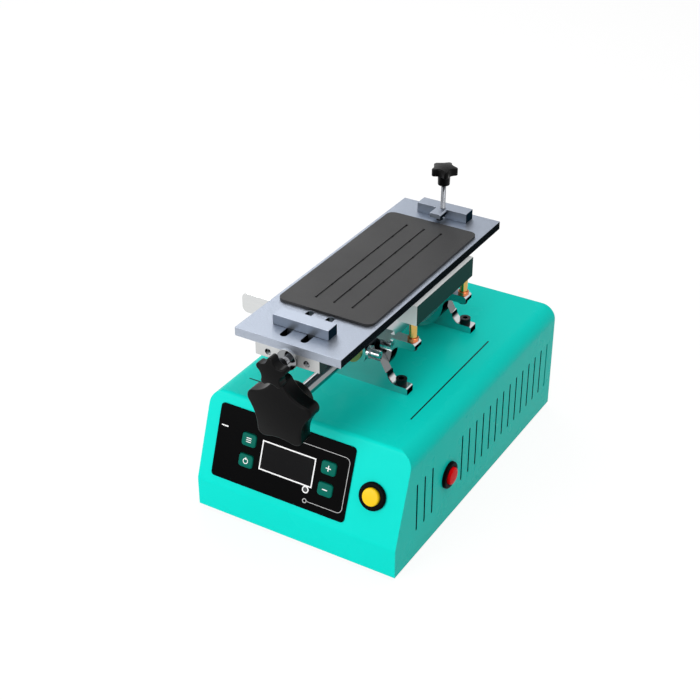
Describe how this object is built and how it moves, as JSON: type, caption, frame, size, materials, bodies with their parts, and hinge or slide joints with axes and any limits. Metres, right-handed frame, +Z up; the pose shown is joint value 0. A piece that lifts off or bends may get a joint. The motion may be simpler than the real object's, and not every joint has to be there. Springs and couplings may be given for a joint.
{
  "type": "lcd screen separator",
  "caption": "Bench lcd screen separator: heated vacuum work table with clamps on a tilting cradle, over a raked sheet steel control housing.",
  "frame": {"origin": "centre of the housing's underside, on the tray's lower face", "axes": "+Z up, +X to the right seen from the control panel, +Y to the rear"},
  "size_m": [0.1746, 0.289, 0.2151],
  "materials": {
    "teal_coat": "textured powder coat",
    "zinc_sheet": "zinc plated sheet",
    "plated_screws": "zinc plated",
    "black_screws": "black oxide",
    "rubber": "matt black",
    "silicone": "satin black silicone",
    "moulded_black": "fine grain black",
    "knob_black": "satin black phenolic",
    "overlay_black": "gloss black film",
    "window_smoke": "smoked acrylic",
    "display_black": "potted black",
    "board_green": "solder mask",
    "lamp_clear": "diffused",
    "key_green": "satin green",
    "yellow_cap": "gloss",
    "red_cap": "gloss",
    "polished_steel": "polished",
    "ground_steel": "ground",
    "table_alloy": "fine milled, clear anodised",
    "cast_alloy": "milled",
    "hood_steel": "bright stainless",
    "bronze": "sintered bronze",
    "brass": "turned",
    "copper": "turned copper",
    "insulation": "needled glass felt",
    "hose": "clear silicone tube"
  },
  "bodies": {
    "housing": {"housing_cover": "teal_coat", "base_tray": "zinc_sheet", "rubber_feet": "rubber", "foot_screws": "plated_screws", "case_screws": "plated_screws", "rear_panel": "teal_coat", "mains_inlet": "moulded_black", "control_overlay": "overlay_black", "display_window": "window_smoke", "display_module": "display_black", "control_board": "board_green", "output_lamp": "lamp_clear", "yellow_bezel": "moulded_black", "red_bezel": "moulded_black", "button_nuts": "moulded_black", "power_supply": "zinc_sheet", "pump_motor": "ground_steel", "pump_head": "moulded_black", "pump_bracket": "moulded_black", "air_valve": "moulded_black", "air_hose": "hose", "cable_grommet": "rubber", "front_bracket": "polished_steel", "rear_bracket": "polished_steel", "bracket_screws": "black_screws", "bearing_bushes": "bronze", "lock_screw": "ground_steel"},
    "tilt_head": {"tilt_shaft": "ground_steel", "tilt_knob": "knob_black", "cradle_plates": "polished_steel", "cradle_barrel": "cast_alloy", "brass_posts": "brass", "copper_rings": "copper", "post_screws": "black_screws", "heater_hood": "hood_steel", "heater_block": "cast_alloy", "insulation_pad": "insulation", "work_table": "table_alloy", "silicone_mat": "silicone", "front_block": "polished_steel", "guide_rods": "ground_steel", "rod_support": "cast_alloy", "lever_lug": "cast_alloy", "lever_pin": "ground_steel"},
    "front_clamp": {"front_jaw": "table_alloy", "jaw_carriage": "cast_alloy"},
    "clamp_drive": {"clamp_screw": "ground_steel", "clamp_knob": "knob_black"},
    "rear_clamp": {"rear_jaw": "table_alloy", "jaw_gib": "cast_alloy"},
    "press_foot": {"press_pad": "ground_steel"},
    "press_drive": {"press_rod": "ground_steel", "press_knob": "knob_black"},
    "lever": {"lock_lever": "polished_steel"},
    "yellow_button": {"yellow_cap": "yellow_cap"},
    "red_button": {"red_cap": "red_cap"},
    "set_push": {"set_key": "key_green"},
    "power_push": {"power_key": "key_green"},
    "plus_push": {"plus_key": "key_green"},
    "minus_push": {"minus_key": "key_green"}
  },
  "joints": [
    {"name": "platform_tilt", "type": "hinge", "parent": "housing", "child": "tilt_head", "pos_m": [0, 0, 0.1197], "axis": [0, 1, 0], "range_deg": [-30, 30]},
    {"name": "clamp_turn", "type": "hinge", "parent": "tilt_head", "child": "clamp_drive", "pos_m": [0, -0.134, 0.1565], "axis": [0, 1, 0], "range_deg": [-2700, 900]},
    {"name": "front_jaw_slide", "type": "slide", "parent": "tilt_head", "child": "front_clamp", "axis": [0, 1, 0], "range_m": [-0.005, 0.015]},
    {"name": "rear_jaw_slide", "type": "slide", "parent": "tilt_head", "child": "rear_clamp", "axis": [0, 1, 0], "range_m": [-0.006, 0.002]},
    {"name": "press_lift", "type": "slide", "parent": "rear_clamp", "child": "press_foot", "axis": [0, 0, 1], "range_m": [0, 0.0021]},
    {"name": "press_turn", "type": "hinge", "parent": "press_foot", "child": "press_drive", "pos_m": [0, 0.0905, 0.19], "axis": [0, 0, 1], "range_deg": [0, 1080]},
    {"name": "lever_swing", "type": "hinge", "parent": "tilt_head", "child": "lever", "pos_m": [-0.0355, -0.08, 0.1555], "axis": [0, 1, 0], "range_deg": [-25, 0]},
    {"name": "yellow_press", "type": "slide", "parent": "housing", "child": "yellow_button", "axis": [0, 0.943, -0.3328], "range_m": [0, 0.0015], "stiffness_N_per_m": 400, "springref_m": -0.001},
    {"name": "red_press", "type": "slide", "parent": "housing", "child": "red_button", "axis": [-1, 0, 0], "range_m": [0, 0.0015], "stiffness_N_per_m": 400, "springref_m": -0.001},
    {"name": "set_press", "type": "slide", "parent": "housing", "child": "set_push", "axis": [0, 0.943, -0.3328], "range_m": [0, 0.0005], "stiffness_N_per_m": 600, "springref_m": -0.0005},
    {"name": "power_press", "type": "slide", "parent": "housing", "child": "power_push", "axis": [0, 0.943, -0.3328], "range_m": [0, 0.0005], "stiffness_N_per_m": 600, "springref_m": -0.0005},
    {"name": "plus_press", "type": "slide", "parent": "housing", "child": "plus_push", "axis": [0, 0.943, -0.3328], "range_m": [0, 0.0005], "stiffness_N_per_m": 600, "springref_m": -0.0005},
    {"name": "minus_press", "type": "slide", "parent": "housing", "child": "minus_push", "axis": [0, 0.943, -0.3328], "range_m": [0, 0.0005], "stiffness_N_per_m": 600, "springref_m": -0.0005}
  ],
  "couplings": [
    {"joint": "clamp_turn", "follows": "front_jaw_slide", "rad_per_m": -3141.6},
    {"joint": "press_turn", "follows": "press_lift", "rad_per_m": 8975}
  ]
}
